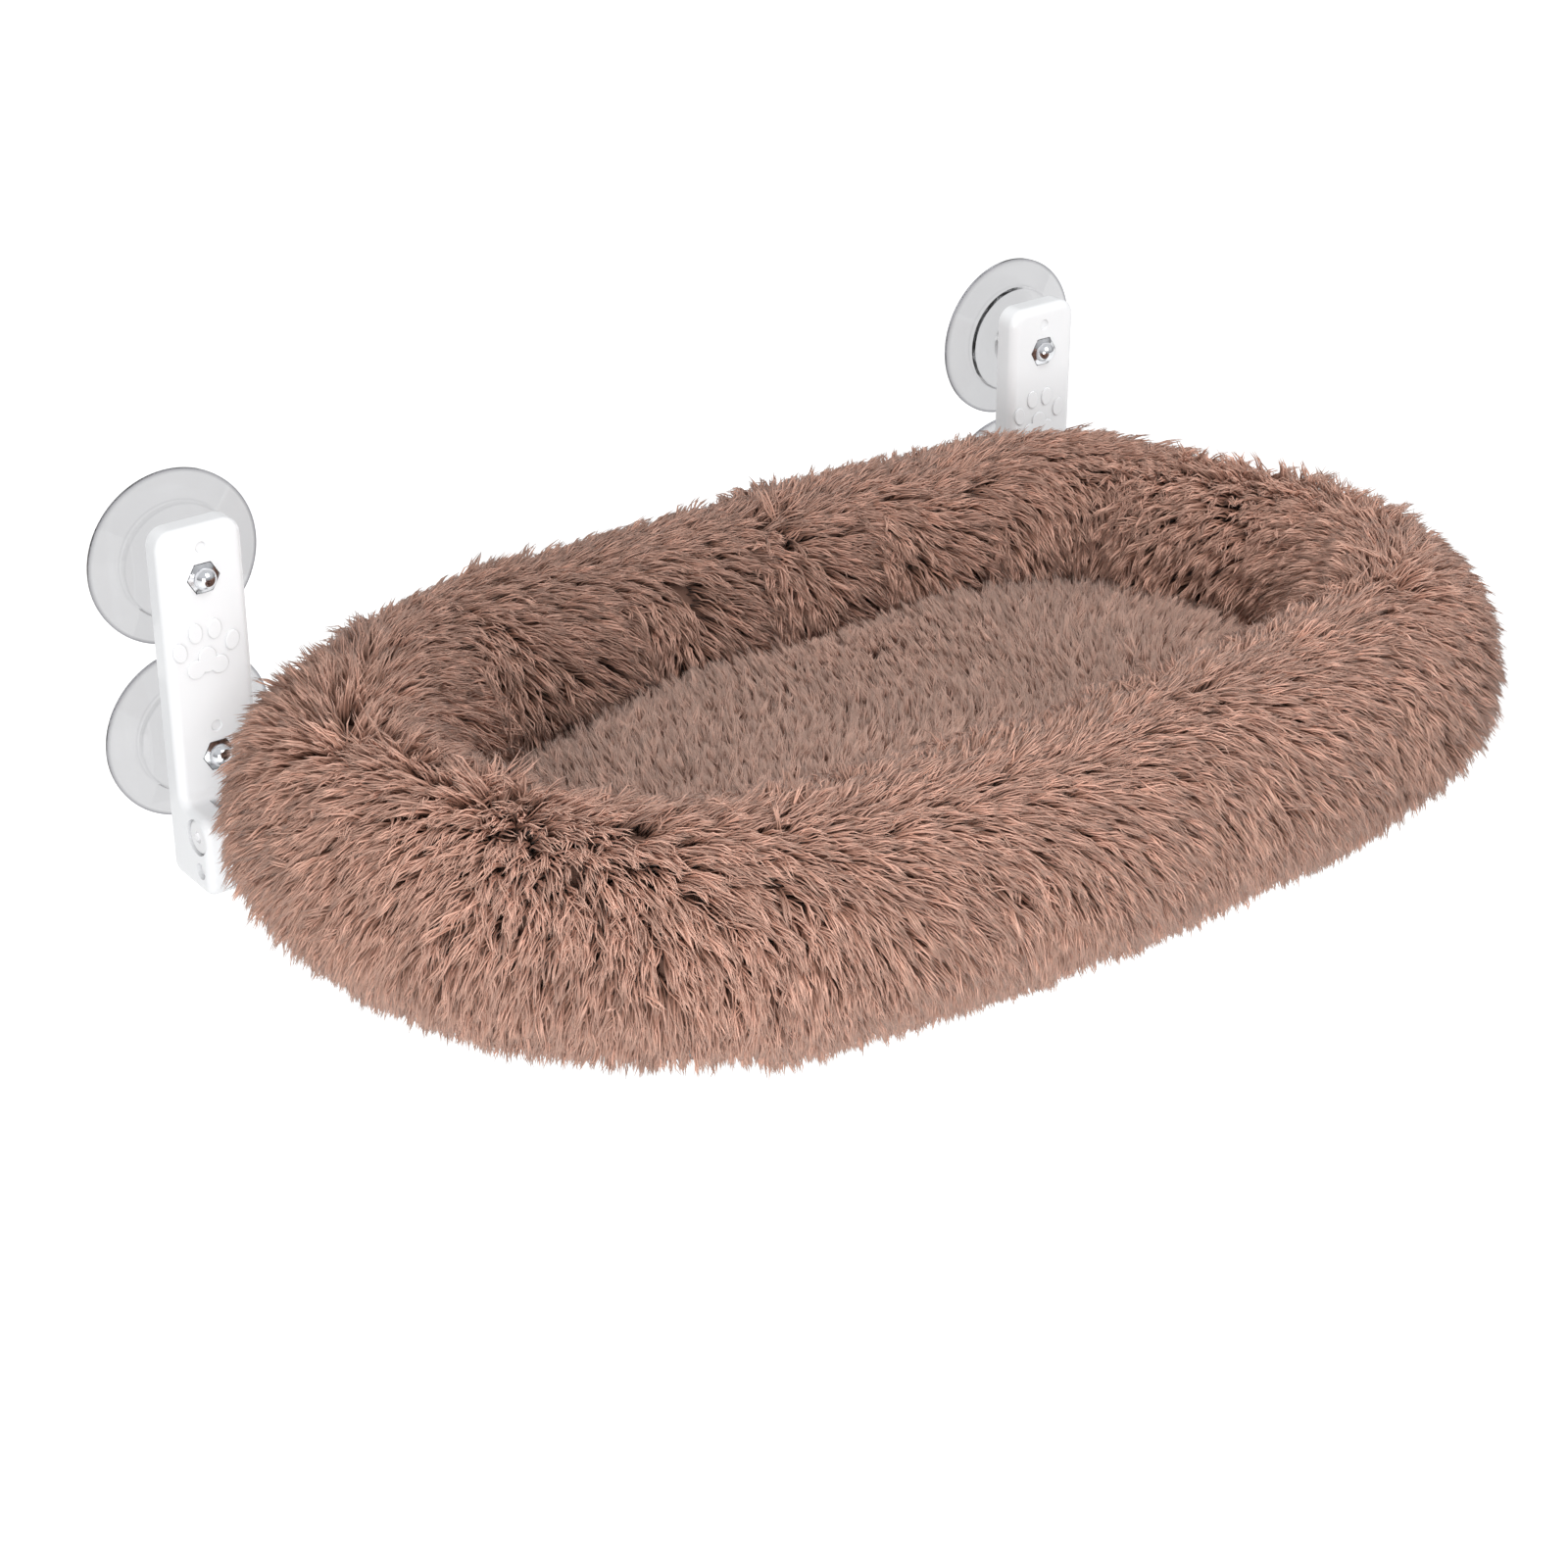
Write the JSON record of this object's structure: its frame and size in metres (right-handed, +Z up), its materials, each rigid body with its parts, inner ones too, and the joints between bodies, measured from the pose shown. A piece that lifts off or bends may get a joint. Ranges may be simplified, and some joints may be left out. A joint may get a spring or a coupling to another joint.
{
  "type": "window mounted cat perch",
  "caption": "Oval long-pile pet bed on a folding tube frame, held to a window by white moulded brackets with clear suction cups.",
  "frame": {"origin": "on the window glass, midway between the four suction cups", "axes": "+X along the window, +Y into the glass, away from the room, +Z up"},
  "size_m": [0.576, 0.3889, 0.1813],
  "materials": {
    "bracket_plastic": "gloss white moulding",
    "clear_soft_plastic": "clear soft plastic",
    "zinc_steel": "zinc plated",
    "bolt_paint": "white paint on steel",
    "nut_chrome": "polished chrome",
    "frame_paint": "white powder coat",
    "spacer_mesh": "grey spacer mesh with round holes",
    "pad_foam": "open foam",
    "long_pile": "long clumped pile, brown with a pink cast",
    "short_pile": "short fine pile, greyer brown",
    "filling": "loose white fibre"
  },
  "bodies": {
    "window_side": {"bracket_left": "bracket_plastic", "bracket_right": "bracket_plastic", "suction_cup_left_top": "clear_soft_plastic", "suction_cup_left_bottom": "clear_soft_plastic", "suction_cup_right_top": "clear_soft_plastic", "suction_cup_right_bottom": "clear_soft_plastic", "cup_stud_left_top": "zinc_steel", "cup_stud_left_bottom": "zinc_steel", "cup_stud_right_top": "zinc_steel", "cup_stud_right_bottom": "zinc_steel", "cap_nut_left_top": "nut_chrome", "cap_nut_left_bottom": "nut_chrome", "cap_nut_right_top": "nut_chrome", "cap_nut_right_bottom": "nut_chrome", "pivot_bolt_left": "bolt_paint", "pivot_nut_left": "zinc_steel", "pivot_bolt_right": "bolt_paint", "pivot_nut_right": "zinc_steel", "cheek_bolt_left": "bolt_paint", "cheek_nut_left": "zinc_steel", "cheek_bolt_right": "bolt_paint", "cheek_nut_right": "zinc_steel"},
    "perch": {"arm_end_left": "bracket_plastic", "arm_end_right": "bracket_plastic", "frame_tube": "frame_paint", "rear_crossbar": "frame_paint", "mesh_underside": "spacer_mesh", "base_pad": "pad_foam", "bolster_cover": "long_pile", "bolster_filling": "filling", "cushion_cover": "short_pile", "cushion_filling": "filling"}
  },
  "joints": [
    {"name": "fold", "type": "hinge", "parent": "window_side", "child": "perch", "pos_m": [0, -0.0405, -0.0723], "axis": [-1, 0, 0], "range_deg": [0, 84], "deforming": ["bolster_cover", "bolster_filling", "cushion_cover", "cushion_filling"]}
  ]
}
